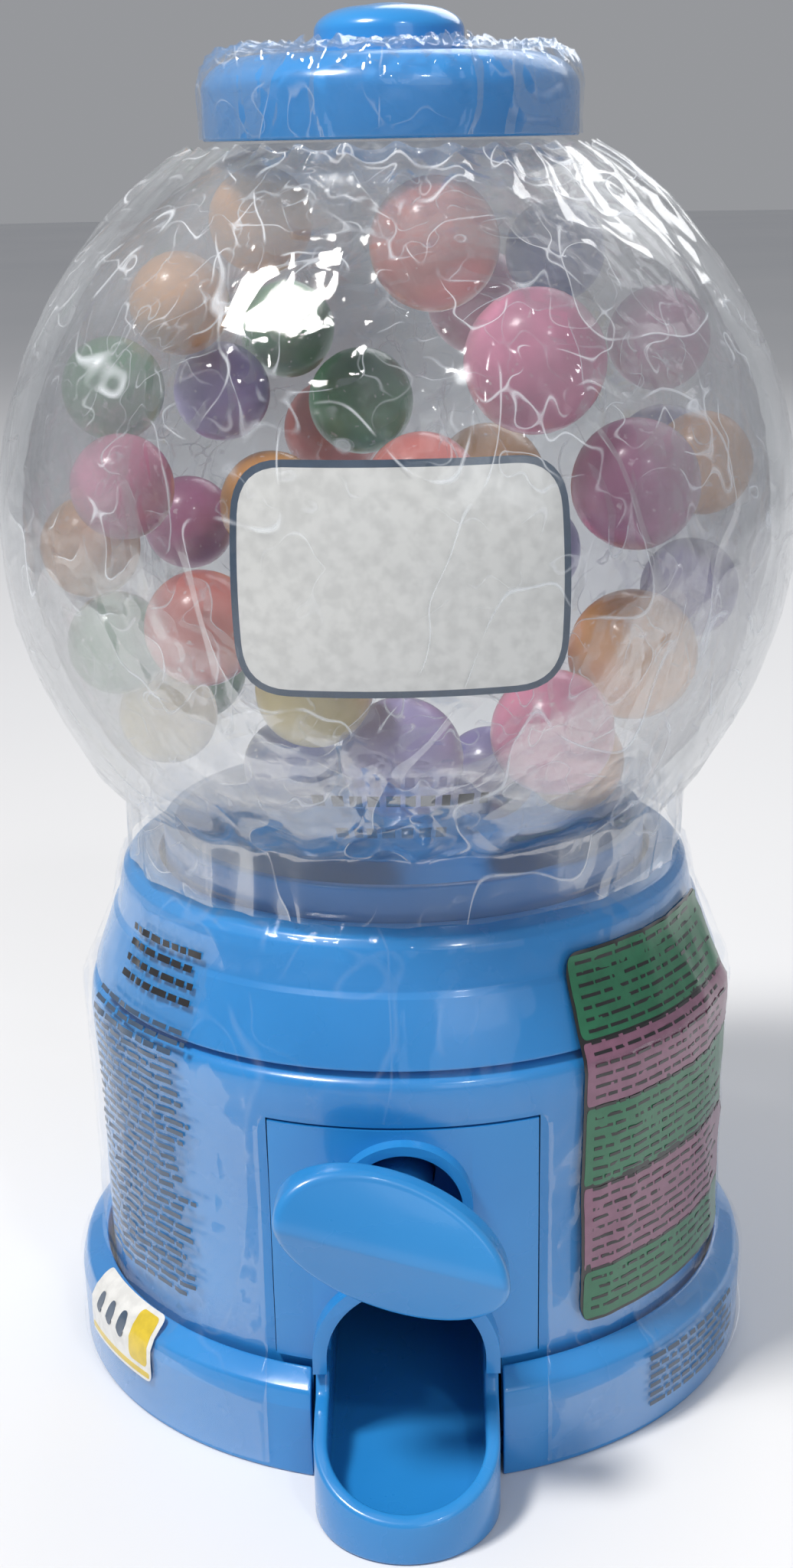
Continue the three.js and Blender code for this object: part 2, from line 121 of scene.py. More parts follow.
def studio():
    middle = (0, 0, 0.08)
    area_light("Key", (-0.30, -0.22, 0.72), middle, (0.14, 0.14), 5.6, (1, 0.97, 0.93))
    area_light("Fill", (0.5, -1.1, 0.6), middle, (0.6, 0.6), 1.6, (0.93, 0.96, 1))
    area_light("Back", (0.25, 0.65, 0.55), middle, (0.6, 0.4), 1.8)
    area_light("Spark", (0.2, -0.42, 0.55), middle, (0.04, 0.04), 0.35)
    world = bpy.data.worlds.new("World")
    world.use_nodes = True
    background = world.node_tree.nodes["Background"]
    background.inputs["Color"].default_value = (0.93, 0.95, 1, 1)
    background.inputs["Strength"].default_value = 0.33
    scene = bpy.context.scene
    scene.world = world
    scene.view_settings.view_transform = "Standard"
    scene.cycles.transparent_max_bounces = 32


# ---- Mesh helpers ----
def new_object(name, mesh):
    piece = bpy.data.objects.new(name, mesh)
    bpy.context.collection.objects.link(piece)
    return piece


def smooth(mesh, degrees=35):
    mesh.shade_smooth()
    mesh.set_sharp_from_angle(angle=math.radians(degrees))


def to_mesh(bm, name, degrees=35):
    bmesh.ops.recalc_face_normals(bm, faces=bm.faces)
    mesh = bpy.data.meshes.new(name)
    bm.to_mesh(mesh)
    bm.free()
    smooth(mesh, degrees)
    return mesh


def arc(x, z, r, start, end, steps, rz=None):
    rz = r if rz is None else rz
    turns = [start + (end - start) * i / steps for i in range(steps + 1)]
    return [(x + r * math.cos(t), z + rz * math.sin(t)) for t in turns]


def fillet(points, radius, steps=4, closed=True):
    """Rounds each corner of a 2-D outline. A point given as (x, z, r) has its own radius."""
    result = []
    count = len(points)
    for i, point in enumerate(points):
        here = Vector(point[:2])
        r = point[2] if len(point) > 2 else radius
        if r == 0 or (not closed and i in (0, count - 1)):
            result.append(tuple(here))
            continue
        before = Vector(points[i - 1][:2]) - here
        after = Vector(points[(i + 1) % count][:2]) - here
        angle = before.angle(after)
        if angle > math.radians(170):
            result.append(tuple(here))
            continue
        reach = min(r / math.tan(angle / 2), before.length * 0.45, after.length * 0.45)
        start = here + before.normalized() * reach
        end = here + after.normalized() * reach
        for k in range(steps + 1):
            t = k / steps
            result.append(tuple(start * (1 - t) ** 2 + here * 2 * t * (1 - t) + end * t * t))
    return result


def lathe_bm(bm, profile, steps=FINE, move=(0, 0, 0)):
    """Turns a closed profile about Z. Points on the axis become one vertex."""
    rings = []
    for r, z in profile:
        if r < 1e-6:
            rings.append([bm.verts.new((move[0] * MM, move[1] * MM, (z + move[2]) * MM))])
            continue
        ring = []
        for k in range(steps):
            a = 2 * math.pi * k / steps
            place = (r * math.cos(a) + move[0], r * math.sin(a) + move[1], z + move[2])
            ring.append(bm.verts.new(Vector(place) * MM))
        rings.append(ring)
    pairs = list(zip(rings, rings[1:]))
    if len(rings[0]) > 1:
        pairs.append((rings[-1], rings[0]))
    for low, high in pairs:
        for k in range(steps):
            n = (k + 1) % steps
            corners = [low[k % len(low)], low[n % len(low)], high[n % len(high)], high[k % len(high)]]
            unique = list(dict.fromkeys(corners))
            if len(unique) > 2:
                bm.faces.new(unique)


def lathe(name, profile, steps=FINE, degrees=35):
    bm = bmesh.new()
    lathe_bm(bm, profile, steps)
    return new_object(name, to_mesh(bm, name, degrees))


def prism_bm(bm, outline, place, depth):
    """Two copies of an outline, joined. place(u, v, t) gives a point in millimetres for t 0 and 1."""
    ends = [[bm.verts.new(Vector(place(u, v, t)) * MM) for u, v in outline] for t in depth]
    count = len(outline)
    for k in range(count):
        n = (k + 1) % count
        bm.faces.new((ends[0][k], ends[0][n], ends[1][n], ends[1][k]))
    bm.faces.new(ends[0])
    bm.faces.new(list(reversed(ends[1])))


def prism(name, outline, place, depth):
    bm = bmesh.new()
    prism_bm(bm, outline, place, depth)
    return new_object(name, to_mesh(bm, name))


def along_y(x, z, y):
    return (x, y, z)


def along_x(y, z, x):
    return (x, y, z)


def along_z(x, y, z):
    return (x, y, z)


def box(name, low, high):
    corners = [(low[0], low[1]), (high[0], low[1]), (high[0], high[1]), (low[0], high[1])]
    return prism(name, corners, along_z, (low[2], high[2]))


def rod_y(name, x, z, r, front, back, steps=96):
    outline = arc(x, z, r, 0, 2 * math.pi, steps)[:-1]
    return prism(name, outline, along_y, (front, back))


def apply_modifiers(piece):
    graph = bpy.context.evaluated_depsgraph_get()
    mesh = bpy.data.meshes.new_from_object(piece.evaluated_get(graph))
    old = piece.data
    piece.modifiers.clear()
    piece.data = mesh
    bpy.data.meshes.remove(old)
    return piece


def boolean(piece, other, operation):
    modifier = piece.modifiers.new(operation, "BOOLEAN")
    modifier.operation = operation
    modifier.solver = "EXACT"
    modifier.object = other
    apply_modifiers(piece)
    bpy.data.objects.remove(other)
    return piece


def cut(piece, *others):
    for other in others:
        boolean(piece, other, "DIFFERENCE")
    return piece


def join(piece, *others):
    for other in others:
        boolean(piece, other, "UNION")
    return piece


def bevel(piece, width, degrees=35, segments=3):
    modifier = piece.modifiers.new("Bevel", "BEVEL")
    modifier.width = width * MM
    modifier.segments = segments
    modifier.limit_method = "ANGLE"
    modifier.angle_limit = math.radians(degrees)
    modifier.use_clamp_overlap = True
    apply_modifiers(piece)
    smooth(piece.data, 50)
    return piece


# ---- Materials ----
class Shader:
    """A small helper round one material's node tree."""

    def __init__(self, name):
        self.material = bpy.data.materials.new(name)
        self.material.use_nodes = True
        self.tree = self.material.node_tree
        self.surface = self.tree.nodes["Principled BSDF"]
        self.output = self.tree.nodes["Material Output"]
        self.place = self.tree.nodes.new("ShaderNodeTexCoord").outputs["Object"]

    def node(self, kind, **inputs):
        made = self.tree.nodes.new("ShaderNode" + kind)
        for name, value in inputs.items():
            socket = made.inputs[name.replace("_", " ")]
            if isinstance(value, bpy.types.NodeSocket):
                self.tree.links.new(value, socket)
            else:
                socket.default_value = value
        return made

    def link(self, source, socket):
        self.tree.links.new(source, socket)

    def stretched(self, scale):
        mapping = self.node("Mapping", Vector=self.place)
        mapping.inputs["Scale"].default_value = scale
        return mapping.outputs["Vector"]

    def grain(self, scale, detail=2.0, vector=None, kind="FBM", distortion=0.0):
        made = self.node("TexNoise", Vector=vector or self.place, Scale=scale, Detail=detail,
                         Distortion=distortion)
        made.noise_type = kind
        return made.outputs["Fac"]

    def ramp(self, factor, low, high, start=0.3, end=0.7):
        made = self.node("ValToRGB", Fac=factor)
        stops = made.color_ramp.elements
        stops[0].position, stops[1].position = start, end
        stops[0].color = (*low, 1) if len(low) == 3 else low
        stops[1].color = (*high, 1) if len(high) == 3 else high
        return made.outputs["Color"]

    def span(self, factor, low, high, start=0.0, end=1.0):
        made = self.node("MapRange", Value=factor)
        made.inputs["From Min"].default_value = start
        made.inputs["From Max"].default_value = end
        made.inputs["To Min"].default_value = low
        made.inputs["To Max"].default_value = high
        return made.outputs["Result"]

    def bump(self, height, strength, distance, normal=None):
        made = self.node("Bump", Height=height, Strength=strength, Distance=distance)
        if normal:
            self.link(normal, made.inputs["Normal"])
        return made.outputs["Normal"]

    def math(self, operation, first, second):
        made = self.node("Math")
        made.operation = operation
        for value, socket in zip((first, second), made.inputs):
            if isinstance(value, bpy.types.NodeSocket):
                self.link(value, socket)
            else:
                socket.default_value = value
        return made.outputs["Value"]

    def contour(self, field, thin, wide):
        """Thin lines and wider ridges along the middle contour of a noise field."""
        away = self.math("ABSOLUTE", self.math("SUBTRACT", field, 0.5), 0)
        return self.span(away, 1, 0, 0, thin), self.span(away, 1, 0, 0, wide)

    def set(self, **values):
        for name, value in values.items():
            self.surface.inputs[name.replace("_", " ")].default_value = value


def moulded(name, deep, bright, gloss=(0.2, 0.34), coat=0.3):
    """Injection-moulded plastic: faint flow tone, a soft orange peel and fine handling marks."""
    s = Shader(name)
    flow = s.grain(28, 3)
    s.link(s.ramp(flow, deep, bright), s.surface.inputs["Base Color"])
    s.link(s.span(s.grain(90, 4), gloss[0], gloss[1], 0.3, 0.7), s.surface.inputs["Roughness"])
    peel = s.bump(s.grain(420, 2), 0.12, 0.0002)
    marks = s.bump(s.grain(60, 8, s.stretched((1, 1, 7)), "RIDGED_MULTIFRACTAL"), 0.04, 0.0001, peel)
    s.link(marks, s.surface.inputs["Normal"])
    s.set(Coat_Weight=coat, Coat_Roughness=0.08, IOR=1.5)
    return s.material


def steel():
    s = Shader("zinc_steel")
    tone = s.ramp(s.grain(300, 6), (0.45, 0.46, 0.47), (0.7, 0.71, 0.73))
    s.link(tone, s.surface.inputs["Base Color"])
    s.link(s.span(s.grain(800, 4), 0.25, 0.45), s.surface.inputs["Roughness"])
    s.link(s.bump(s.grain(900, 3), 0.2, 0.0001), s.surface.inputs["Normal"])
    s.set(Metallic=1.0)
    return s.material


def candy(name, colour):
    """A sugar shell: mottled colour, pale specks, a waxy coat and a slightly lumpy surface."""
    s = Shader(name)
    deep = tuple(c * 0.72 for c in colour)
    pale = tuple(min(1, c * 1.12 + 0.03) for c in colour)
    mottle = s.ramp(s.grain(110, 4), deep, pale, 0.32, 0.66)
    specks = s.ramp(s.grain(900, 2), (0, 0, 0), (1, 1, 1), 0.66, 0.74)
    mix = s.node("Mix", Factor=specks)
    mix.data_type = "RGBA"
    s.link(mottle, mix.inputs["A"])
    mix.inputs["B"].default_value = (*[min(1, c * 0.6 + 0.4) for c in colour], 1)
    s.link(mix.outputs["Result"], s.surface.inputs["Base Color"])
    s.link(s.span(s.grain(160, 3), 0.24, 0.42, 0.3, 0.7), s.surface.inputs["Roughness"])
    lumps = s.bump(s.grain(260, 3), 0.25, 0.0004)
    s.link(lumps, s.surface.inputs["Normal"])
    s.set(Coat_Weight=0.5, Coat_Roughness=0.12, IOR=1.45)
    return s.material


def clear(name, scale, crease, highlight_and_haze, stretch=(1, 1, 1), mirror=(0.02, 0.4), tint=(0.985, 0.99, 1)):
    """A thin clear skin: mostly see-through, mirror-like at the edges, with a painted white highlight along
    its creases and a faint milky haze in patches.
    """
    s = Shader(name)
    s.tree.nodes.remove(s.surface)
    long_lines, long_folds = s.contour(s.grain(scale, 1, s.stretched(stretch), distortion=0.5), 0.006, 0.06)
    short_lines, short_folds = s.contour(s.grain(scale * 2.4, 1, distortion=0.3), 0.012, 0.11)
    patches = s.span(s.grain(scale * 0.8, 1), 0.0, 1.0, 0.4, 0.62)
    gaps = s.span(s.grain(scale * 3.4, 0), 1.0, 0.0, 0.46, 0.6)
    long_lines = s.math("MULTIPLY", long_lines, gaps)
    short_lines = s.math("MULTIPLY", s.math("MULTIPLY", short_lines, patches), gaps)
    normal = s.bump(long_folds, crease, 0.0012)
    normal = s.bump(s.math("MULTIPLY", short_folds, patches), crease, 0.0005, normal)
    rim = s.node("Fresnel", IOR=1.45, Normal=normal)
    through = s.node("BsdfTransparent", Color=(*tint, 1))
    shine = s.node("BsdfGlossy", Color=(1, 1, 1, 1), Roughness=0.07, Normal=normal)
    skin_mix = s.node("MixShader")
    s.link(s.span(rim.outputs["Fac"], mirror[0], mirror[1], 0.04, 1.0), skin_mix.inputs["Fac"])
    s.link(through.outputs["BSDF"], skin_mix.inputs[1])
    s.link(shine.outputs["BSDF"], skin_mix.inputs[2])
    # Painted highlight: white diffuse along the crease lines, plus a faint milky haze in random patches.
    highlight_and_haze_white = s.node("BsdfDiffuse", Color=(0.88, 0.92, 0.97, 1))
    lines = s.math("MAXIMUM", long_lines, short_lines)
    highlight_and_haze_share = s.span(s.math("ADD", lines, s.math("MULTIPLY", patches, 0.12)), 0.0, highlight_and_haze)
    whole = s.node("MixShader")
    s.link(highlight_and_haze_share, whole.inputs["Fac"])
    s.link(skin_mix.outputs["Shader"], whole.inputs[1])
    s.link(highlight_and_haze_white.outputs["BSDF"], whole.inputs[2])
    s.link(whole.outputs["Shader"], s.output.inputs["Surface"])
    return s.material


def ink(name, colour, rough=0.35):
    """Printed ink under film: nearly flat colour with a fine dot grain and soft wear."""
    s = Shader(name)
    deep = tuple(c * 0.86 for c in colour)
    s.link(s.ramp(s.grain(700, 3), deep, colour, 0.35, 0.6), s.surface.inputs["Base Color"])
    s.link(s.span(s.grain(200, 3), rough * 0.7, rough * 1.3), s.surface.inputs["Roughness"])
    s.link(s.bump(s.grain(120, 4, kind="RIDGED_MULTIFRACTAL"), 0.15, 0.0004), s.surface.inputs["Normal"])
    s.set(Coat_Weight=0.6, Coat_Roughness=0.06)
    return s.material


def floor_material():
    s = Shader("studio_floor")
    s.link(s.ramp(s.grain(3, 2), (0.76, 0.77, 0.79), (0.8, 0.805, 0.82)), s.surface.inputs["Base Color"])
    s.set(Roughness=0.6)
    return s.material


BLUE = moulded("blue_plastic", (0.016, 0.215, 0.56), (0.034, 0.285, 0.68), (0.22, 0.34), 0.5)
# Painted shade: a darker copy of the blue plastic for the parts inside the base, which sit in shade.
SHADED_INNER_BLUE = moulded("inner_blue_plastic_painted_shade", (0.012, 0.16, 0.46), (0.025, 0.22, 0.58), (0.3, 0.45), 0.15)
STEEL = steel()
# The fourth number of each clear skin sets the strength of its painted crease highlight and haze.
GLOBE_CLEAR = clear("globe_clear", 20, 0.03, 0.03, (1, 1, 1), (0.01, 0.22), (0.985, 0.988, 0.99))
FILM_CLEAR = clear("film_clear", 72, 0.2, 0.34, (1, 1, 0.6), (0.016, 0.32), (0.985, 0.988, 0.99))
LID_FILM_CLEAR = clear("lid_film_clear", 70, 0.2, 0.14, (1, 1, 0.5), (0.018, 0.3), (0.99, 0.995, 1))
BODY_FILM_CLEAR = clear("body_film_clear", 40, 0.12, 0.03, (1, 1, 0.35), (0.008, 0.13), (0.995, 0.997, 1))
BAG_CLEAR = clear("bag_clear", 92, 0.34, 0.34, (1, 1, 0.8), (0.014, 0.24), (0.93, 0.93, 0.935))


def fitted(piece, body, slot, material, *nodes):
    """Gives a piece its material and body, and hides the CAD nodes that it stands for; the slot argument is
    not used.
    """
    if material:
        piece.data.materials.clear()
        piece.data.materials.append(material)
    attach(piece, body)
    if nodes:
        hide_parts(*nodes)
    return piece


# ---- Lid and globe ----
def lid_line(offset=0.0, steps=14):
    return arc(LID_FLAT_R, LID_SHOULDER, LID_R - LID_FLAT_R + offset, 0, math.pi / 2, steps,
               LID_TOP - LID_SHOULDER + offset)


def lid():
    inner = LID_R - 1.6
    shoulder = LID_KNOB_TOP - 2.6
    dome = arc(3.0, shoulder, LID_KNOB_R - 3.0, 0, math.pi / 2, 12, 2.35)
    dome.reverse()
    crown = [(0, LID_KNOB_TOP), (1.6, LID_KNOB_TOP - 0.02)]
    root = fillet([(LID_KNOB_R, shoulder), (LID_KNOB_R + 0.05, LID_TOP, 0.45), (LID_FLAT_R, LID_TOP)], 0.3,
                  closed=False)
    rim = fillet([(LID_R, LID_SHOULDER), (LID_R, LID_BOTTOM, 0.35), (inner, LID_BOTTOM + 0.8, 0.3),
                  (inner, 140, 0.4), (inner - 0.8, 141), (6.1, 141, 0.3), (6.1, 144.9, 0.6), (0, 145.9)], 0.3,
                 closed=False)
    outline = crown + dome + root[1:-1] + list(reversed(lid_line())) + rim[1:]
    return lathe("lid_cap", outline)


def sphere_line(radius, low, high, steps):
    return arc(0, GLOBE_Z, radius, low, high, steps)


def globe():
    inner = GLOBE_R - GLOBE_WALL
    collar_in = COLLAR_R - GLOBE_WALL
    neck_in = NECK_R - GLOBE_WALL
    up = sphere_line(GLOBE_R, -math.acos(COLLAR_R / GLOBE_R), math.acos(NECK_R / GLOBE_R), 56)
    down = sphere_line(inner, math.acos(neck_in / inner), -math.acos(collar_in / inner), 56)
    edge = [(collar_in, COLLAR_BOTTOM + 0.2), (collar_in + 0.2, COLLAR_BOTTOM),
            (COLLAR_R - 0.2, COLLAR_BOTTOM), (COLLAR_R, COLLAR_BOTTOM + 0.2)]
    lip = [(NECK_R, NECK_TOP - 0.2), (NECK_R - 0.2, NECK_TOP), (neck_in + 0.2, NECK_TOP),
           (neck_in, NECK_TOP - 0.2)]
    return lathe("globe_shell", edge + up + lip + down, degrees=30)


# ---- Base ----
def post_places():
    """Where the three posts of the body and the screws of the bottom plate stand."""
    turns = [math.radians(angle) for angle in POST_ANGLES]
    return [(POST_R * math.cos(turn), POST_R * math.sin(turn)) for turn in turns]


def top_cover():
    outline = [(28, 59.5, 0.15), (29.6, 59.6, 0.3), (31.4, 59.1, 0.9), (32.1, 58.2, 0.9), (32.7, 55.4, 0.3),
               (33, 53.9, 0.5), (33.5, 53.3, 0.5), (36, 46.4, 0.25), (34.3, 46.3, 0.2), (31.3, 54.3),
               (30.5, 57.6, 0.5), (28, 57.8, 0.15)]
    return lathe("top_cover_ring", fillet(outline, 0.3))


def body_shell():
    r = BODY_R
    outline = [(r - 0.2, 2.6, 0.3), (r, 12, 2), (r + 0.1, 21.9, 4), (r - 0.1, 31.8, 4), (r + 0.4, 37, 3),
               (r + 0.6, 42.2, 2), (r + 0.2, 45.2, 1.6), (r - 1.4, 46, 0.8), (31.6, 46, 0.2),
               (31.6, 44.6, 0.2), (34.7, 42.6, 0.6), (34.3, 31.8), (34.3, 2.6, 0.2)]
    bm = bmesh.new()
    lathe_bm(bm, fillet(outline, 0.3))
    shell = new_object("body_shell_wall", to_mesh(bm, "body_shell_wall"))
    side = PANEL_HALF + 0.15
    window = box("window", (-side, -45, PANEL_Z[0] - 0.3), (side, -28, PANEL_Z[1] + 0.25))
    slot = box("slot", (-TRAY_OUTER - 0.4, -45, 2), (TRAY_OUTER + 0.4, -28, PANEL_Z[0]))
    cut(shell, window, slot)
    posts = []
    for x, y in post_places():
        ring = [(3.2, 2.6), (3.2, 14), (1.6, 14), (1.6, 2.6)]
        post = bmesh.new()
        lathe_bm(post, fillet(ring, 0.2), 40, (x, y, 0))
        posts.append(new_object("post", to_mesh(post, "post")))
    join(shell, *posts)
    return bevel(shell, 0.15, 40, 2)


def arch_outline(r, bottom):
    return [(-r, bottom), (r, bottom)] + arc(0, 14.3, r, 0, math.pi, 48)


def front_plate():
    """The curved panel, with the arch frame and the dial collar raised from it."""
    def on_panel(x, z, r):
        return (x, -math.sqrt(r * r - x * x), z)

    steps = 56
    xs = [PANEL_HALF * (2 * k / steps - 1) for k in range(steps + 1)]
    bm = bmesh.new()
    rows = []
    for z, r in ((PANEL_Z[0], PANEL_R), (PANEL_Z[1], PANEL_R), (PANEL_Z[1], PANEL_R - 1.7),
                 (PANEL_Z[0], PANEL_R - 1.7)):
        rows.append([bm.verts.new(Vector(on_panel(x, z, r)) * MM) for x in xs])
    for a, b in zip(rows, rows[1:] + rows[:1]):
        for k in range(steps):
            bm.faces.new((a[k], a[k + 1], b[k + 1], b[k]))
    bm.faces.new([row[0] for row in rows])
    bm.faces.new([row[-1] for row in reversed(rows)])
    plate = new_object("front_panel", to_mesh(bm, "front_panel"))
    frame_bar = prism("arch", arch_outline(9.9, PANEL_Z[0]), along_y, (-38.4, -34.6))
    collar = rod_y("collar", 0, DIAL_Z, 7.15, -38.5, -35.8)
    join(plate, frame_bar, collar)
    hole = rod_y("hole", 0, DIAL_Z, 6.1, -45, -30)
    mouth = prism("mouth", arch_outline(8.4, PANEL_Z[0] - 2), along_y, (-45, -30))
    cut(plate, hole, mouth)
    return bevel(plate, 0.4, 50, 4)


def tray_outline(r, back=-7):
    middle = TRAY_FRONT + TRAY_OUTER
    return [(r, back), (-r, back)] + arc(0, middle, r, math.pi, 2 * math.pi, 48)


def outlet_tray():
    side = fillet([(-7, 2.5), (-7, 16), (-33, 16), (-33, 12.2), (-37, 12.2, 0.5), (-38.6, 10.2, 1.5),
                   (-41, 9.8, 3), (TRAY_FRONT - 0.1, 4.8, 0.1), (TRAY_FRONT - 0.1, 0), (-37.4, 0),
                   (-37.4, 2.5)], 0)
    floor = fillet([(-5, 8.9), (-31, 4.4, 20), (-55, 2.4), (-55, 20), (-5, 20)], 0, 8)
    walls = prism("outlet_tray_moulding", tray_outline(TRAY_OUTER), along_z, (0, 17))
    boolean(walls, prism("side", side, along_x, (-12, 12)), "INTERSECT")
    channel = prism("channel", tray_outline(TRAY_INNER, -5), along_z, (0, 18))
    boolean(channel, prism("floor", floor, along_x, (-12, 12)), "INTERSECT")
    cut(walls, channel)
    return bevel(walls, 0.45, 40, 4)


def foot_ring():
    outline = [(RING_R - 0.1, 0, 0.35), (RING_R, 8.4, 1), (RING_R - 0.5, 10.3, 0.9), (38.7, 10.9, 0.8),
               (36.9, 11.9, 0.3), (36.9, 0, 0.3)]
    ring = lathe("foot_ring_moulding", fillet(outline, 0.3, 5))
    gap = TRAY_OUTER + 0.5
    cut(ring, box("gap", (-gap, -45, -1), (gap, -28, 15)))
    return bevel(ring, 0.3, 40, 3)


def bottom_plate():
    """The disc that closes the base, with three countersunk holes and a moulded stiffening ring."""
    outline = [(0, 0), (20, 0), (20.3, 0.3), (22.7, 0.3), (23, 0), (36.1, 0), (36.4, 0.3), (36.4, 1.9),
               (36.1, 2.2), (0, 2.2)]
    plate = lathe("bottom_disc", outline)
    for x, y in post_places():
        hole = bmesh.new()
        lathe_bm(hole, [(0, -1), (3.1, -1), (3.1, 1.3), (1.6, 1.3), (1.6, 3), (0, 3)], 48, (x, y, 0))
        cut(plate, new_object("hole", to_mesh(hole, "hole")))
    return plate


def hopper():
    """The funnel under the globe: a spigot ring with a flange, and a leaning funnel down to the throat."""
    spigot = [(27.3, 47.8, 0.1), (27.3, 63, 0.4), (25.9, 63, 0.4), (25.9, 46.3, 0.2), (33.3, 46.3, 0.2),
              (33.3, 47.8, 0.2)]
    ring = lathe("hopper_funnel", fillet(spigot, 0.2))
    sides = 96
    bm = bmesh.new()
    levels = [(58, SPIGOT_IN, 0), (48.3, 7.6, 1), (44.6, 7.6, 1), (44.6, 9.1, 1), (46.9, 9.1, 1),
              (56.5, SPIGOT_IN, 0)]
    rings = []
    for z, r, lean in levels:
        circle = arc(THROAT_X * lean, THROAT_Y * lean, r, 0, 2 * math.pi, sides)[:-1]
        rings.append([bm.verts.new(Vector((x, y, z)) * MM) for x, y in circle])
    for a, b in zip(rings, rings[1:] + rings[:1]):
        for k in range(sides):
            n = (k + 1) % sides
            bm.faces.new((a[k], a[n], b[n], b[k]))
    funnel = new_object("funnel", to_mesh(bm, "funnel"))
    bm = bmesh.new()
    bm.from_mesh(ring.data)
    bm.from_mesh(funnel.data)
    bpy.data.objects.remove(funnel)
    for side in (-1, 1):
        boss = fillet([(2.8, 44.9), (2.8, 53), (0, 53), (0, 50.5), (1.6, 50.5), (1.6, 44.9)], 0)
        lathe_bm(bm, boss[:2] + [(0.8, 53), (0.8, 50.5)] + boss[4:], 32, (DIAL_X + side * 16, -19, 0))
    ring.data = to_mesh(bm, "hopper_funnel")
    return ring


# ---- Dial ----
KNOB_LONG, KNOB_SHORT = 12.5, 7.1
KNOB_TILT = math.radians(27)
RIDGE_TILT = math.radians(17)
KNOB_BACK, KNOB_RIM, KNOB_RIDGE = -43.6, -45.9, -48.6


def dial_knob():
    """An oval knob with a soft ridge across its face, on its shaft."""
    around, rings = 144, 26
    ridge = Vector((math.cos(RIDGE_TILT), -math.sin(RIDGE_TILT)))
    across = Vector((math.sin(RIDGE_TILT), math.cos(RIDGE_TILT)))

    def outline(t):
        u, v = KNOB_LONG * math.cos(t), KNOB_SHORT * math.sin(t)
        return Vector((u * math.cos(KNOB_TILT) + v * math.sin(KNOB_TILT),
                       -u * math.sin(KNOB_TILT) + v * math.cos(KNOB_TILT)))

    def face(point):
        away = point.dot(across) / (KNOB_SHORT + 1.5)
        soft = math.sqrt(away * away + 0.0009) - 0.03
        bend = 1.3 if away > 0 else 0.9
        return KNOB_RIDGE + (KNOB_RIM - KNOB_RIDGE) * min(1, soft) ** bend * 1.1

    bm = bmesh.new()
    edge = 0.9
    drawn_in = edge / 12
    corner_steps = 6
    oval = [outline(2 * math.pi * i / around) for i in range(around)]
    loops = []
    for k in range(rings + 1):
        share = k / rings
        loops.append([(p * share * (1 - drawn_in), face(p * share)) for p in oval])
    for k in range(1, corner_steps + 1):
        turn = k / corner_steps * math.pi / 2
        inset = 1 - drawn_in * (1 - math.sin(turn))
        loops.append([(p * inset, face(p) + edge * (1 - math.cos(turn))) for p in oval])
    for k in range(corner_steps + 1):
        turn = k / corner_steps * math.pi / 2
        inset = 1 - drawn_in * (1 - math.cos(turn))
        loops.append([(p * inset, KNOB_BACK - edge * (1 - math.sin(turn))) for p in oval])
    loops.append([(outline(0) * 0, KNOB_BACK)])
    loops[0] = loops[0][:1]
    placed = [[bm.verts.new(Vector((DIAL_X + p.x, y, DIAL_Z + p.y)) * MM) for p, y in loop]
              for loop in loops]
    for low, high in zip(placed, placed[1:]):
        for i in range(around):
            n = (i + 1) % around
            corners = [low[i % len(low)], low[n % len(low)], high[n % len(high)], high[i % len(high)]]
            unique = list(dict.fromkeys(corners))
            bm.faces.new(unique)
    knob = new_object("dial_knob_oval", to_mesh(bm, "dial_knob_oval", 60))
    shaft = bmesh.new()
    profile = fillet([(0, 28.4), (4, 28.4, 0.3), (4, 42.9, 0.1), (5.6, 43.9), (0, 43.9)], 0, 3, False)
    lathe_bm(shaft, profile, 64)
    shaft.transform(Matrix.Translation((DIAL_X * MM, 0, DIAL_Z * MM)) @ Matrix.Rotation(math.pi / 2, 4, "X"))
    rod = new_object("shaft", to_mesh(shaft, "shaft"))
    return join(knob, rod)


# ---- Screws ----
SCREW_HEAD = 1.0


def screw(name, head_r, length, spot, turn=None):
    """A pan-head self-tapping screw, its head down and its thread up before it is turned."""
    crest, core, pitch = 1.12, 0.86, 0.9
    line = fillet([(0, 0), (head_r * 0.6, 0, 0.5), (head_r, 0.45, 0.35), (head_r, SCREW_HEAD, 0.1),
                   (core, SCREW_HEAD)], 0, 4, False)
    z = SCREW_HEAD + 0.4
    while z + pitch < length - 1.2:
        line += [(core, z), (crest, z + pitch * 0.45), (crest, z + pitch * 0.55)]
        z += pitch
    line += [(core, z), (core * 0.7, length - 0.9), (0, length)]
    bm = bmesh.new()
    lathe_bm(bm, line, 40)
    made = new_object(name, to_mesh(bm, name, 40))
    wing = head_r * 0.55
    for half in ((wing, 0.28), (0.28, wing)):
        cut(made, box("wing", (-half[0], -half[1], -0.4), (half[0], half[1], 0.5)))
    made.data.transform(Matrix.Translation(Vector(spot) * MM) @ (turn or Matrix.Identity(4)))
    return made


# ---- Film, bag and prints ----
def crease(point, scale, sharp=5):
    """Near 1 along thin wandering lines and 0 between them."""
    return (1 - abs(noise.noise(point * scale))) ** sharp


def ramp_up(value, start, end):
    share = min(1, max(0, (value - start) / (end - start)))
    return share * share * (3 - 2 * share)


def film_rise(point):
    """How far the film stands off the globe's surface, in millimetres, at a point given in millimetres."""
    out = (point - Vector((0, 0, GLOBE_Z))).normalized()
    height = math.degrees(math.asin(out.z))
    turn = math.atan2(out.x, -out.y)
    wander = 2.2 * noise.noise(out * 2.5)
    lines = 0.16 * crease(out + Vector((7, 0, 0)), 3.2, 7) + 0.1 * crease(out, 8, 6)
    pleats = ramp_up(height, 30, 60) * (0.5 + 0.5 * math.sin(turn * 34 + wander * 4)) ** 2
    pleats *= 0.35 + 0.65 * crease(out, 2.1, 2)
    waist = ramp_up(-height, 26, 43) * (0.5 + 0.5 * math.sin(turn * 23 + wander * 3)) ** 2
    return 0.42 + lines + 0.9 * pleats + 0.5 * waist


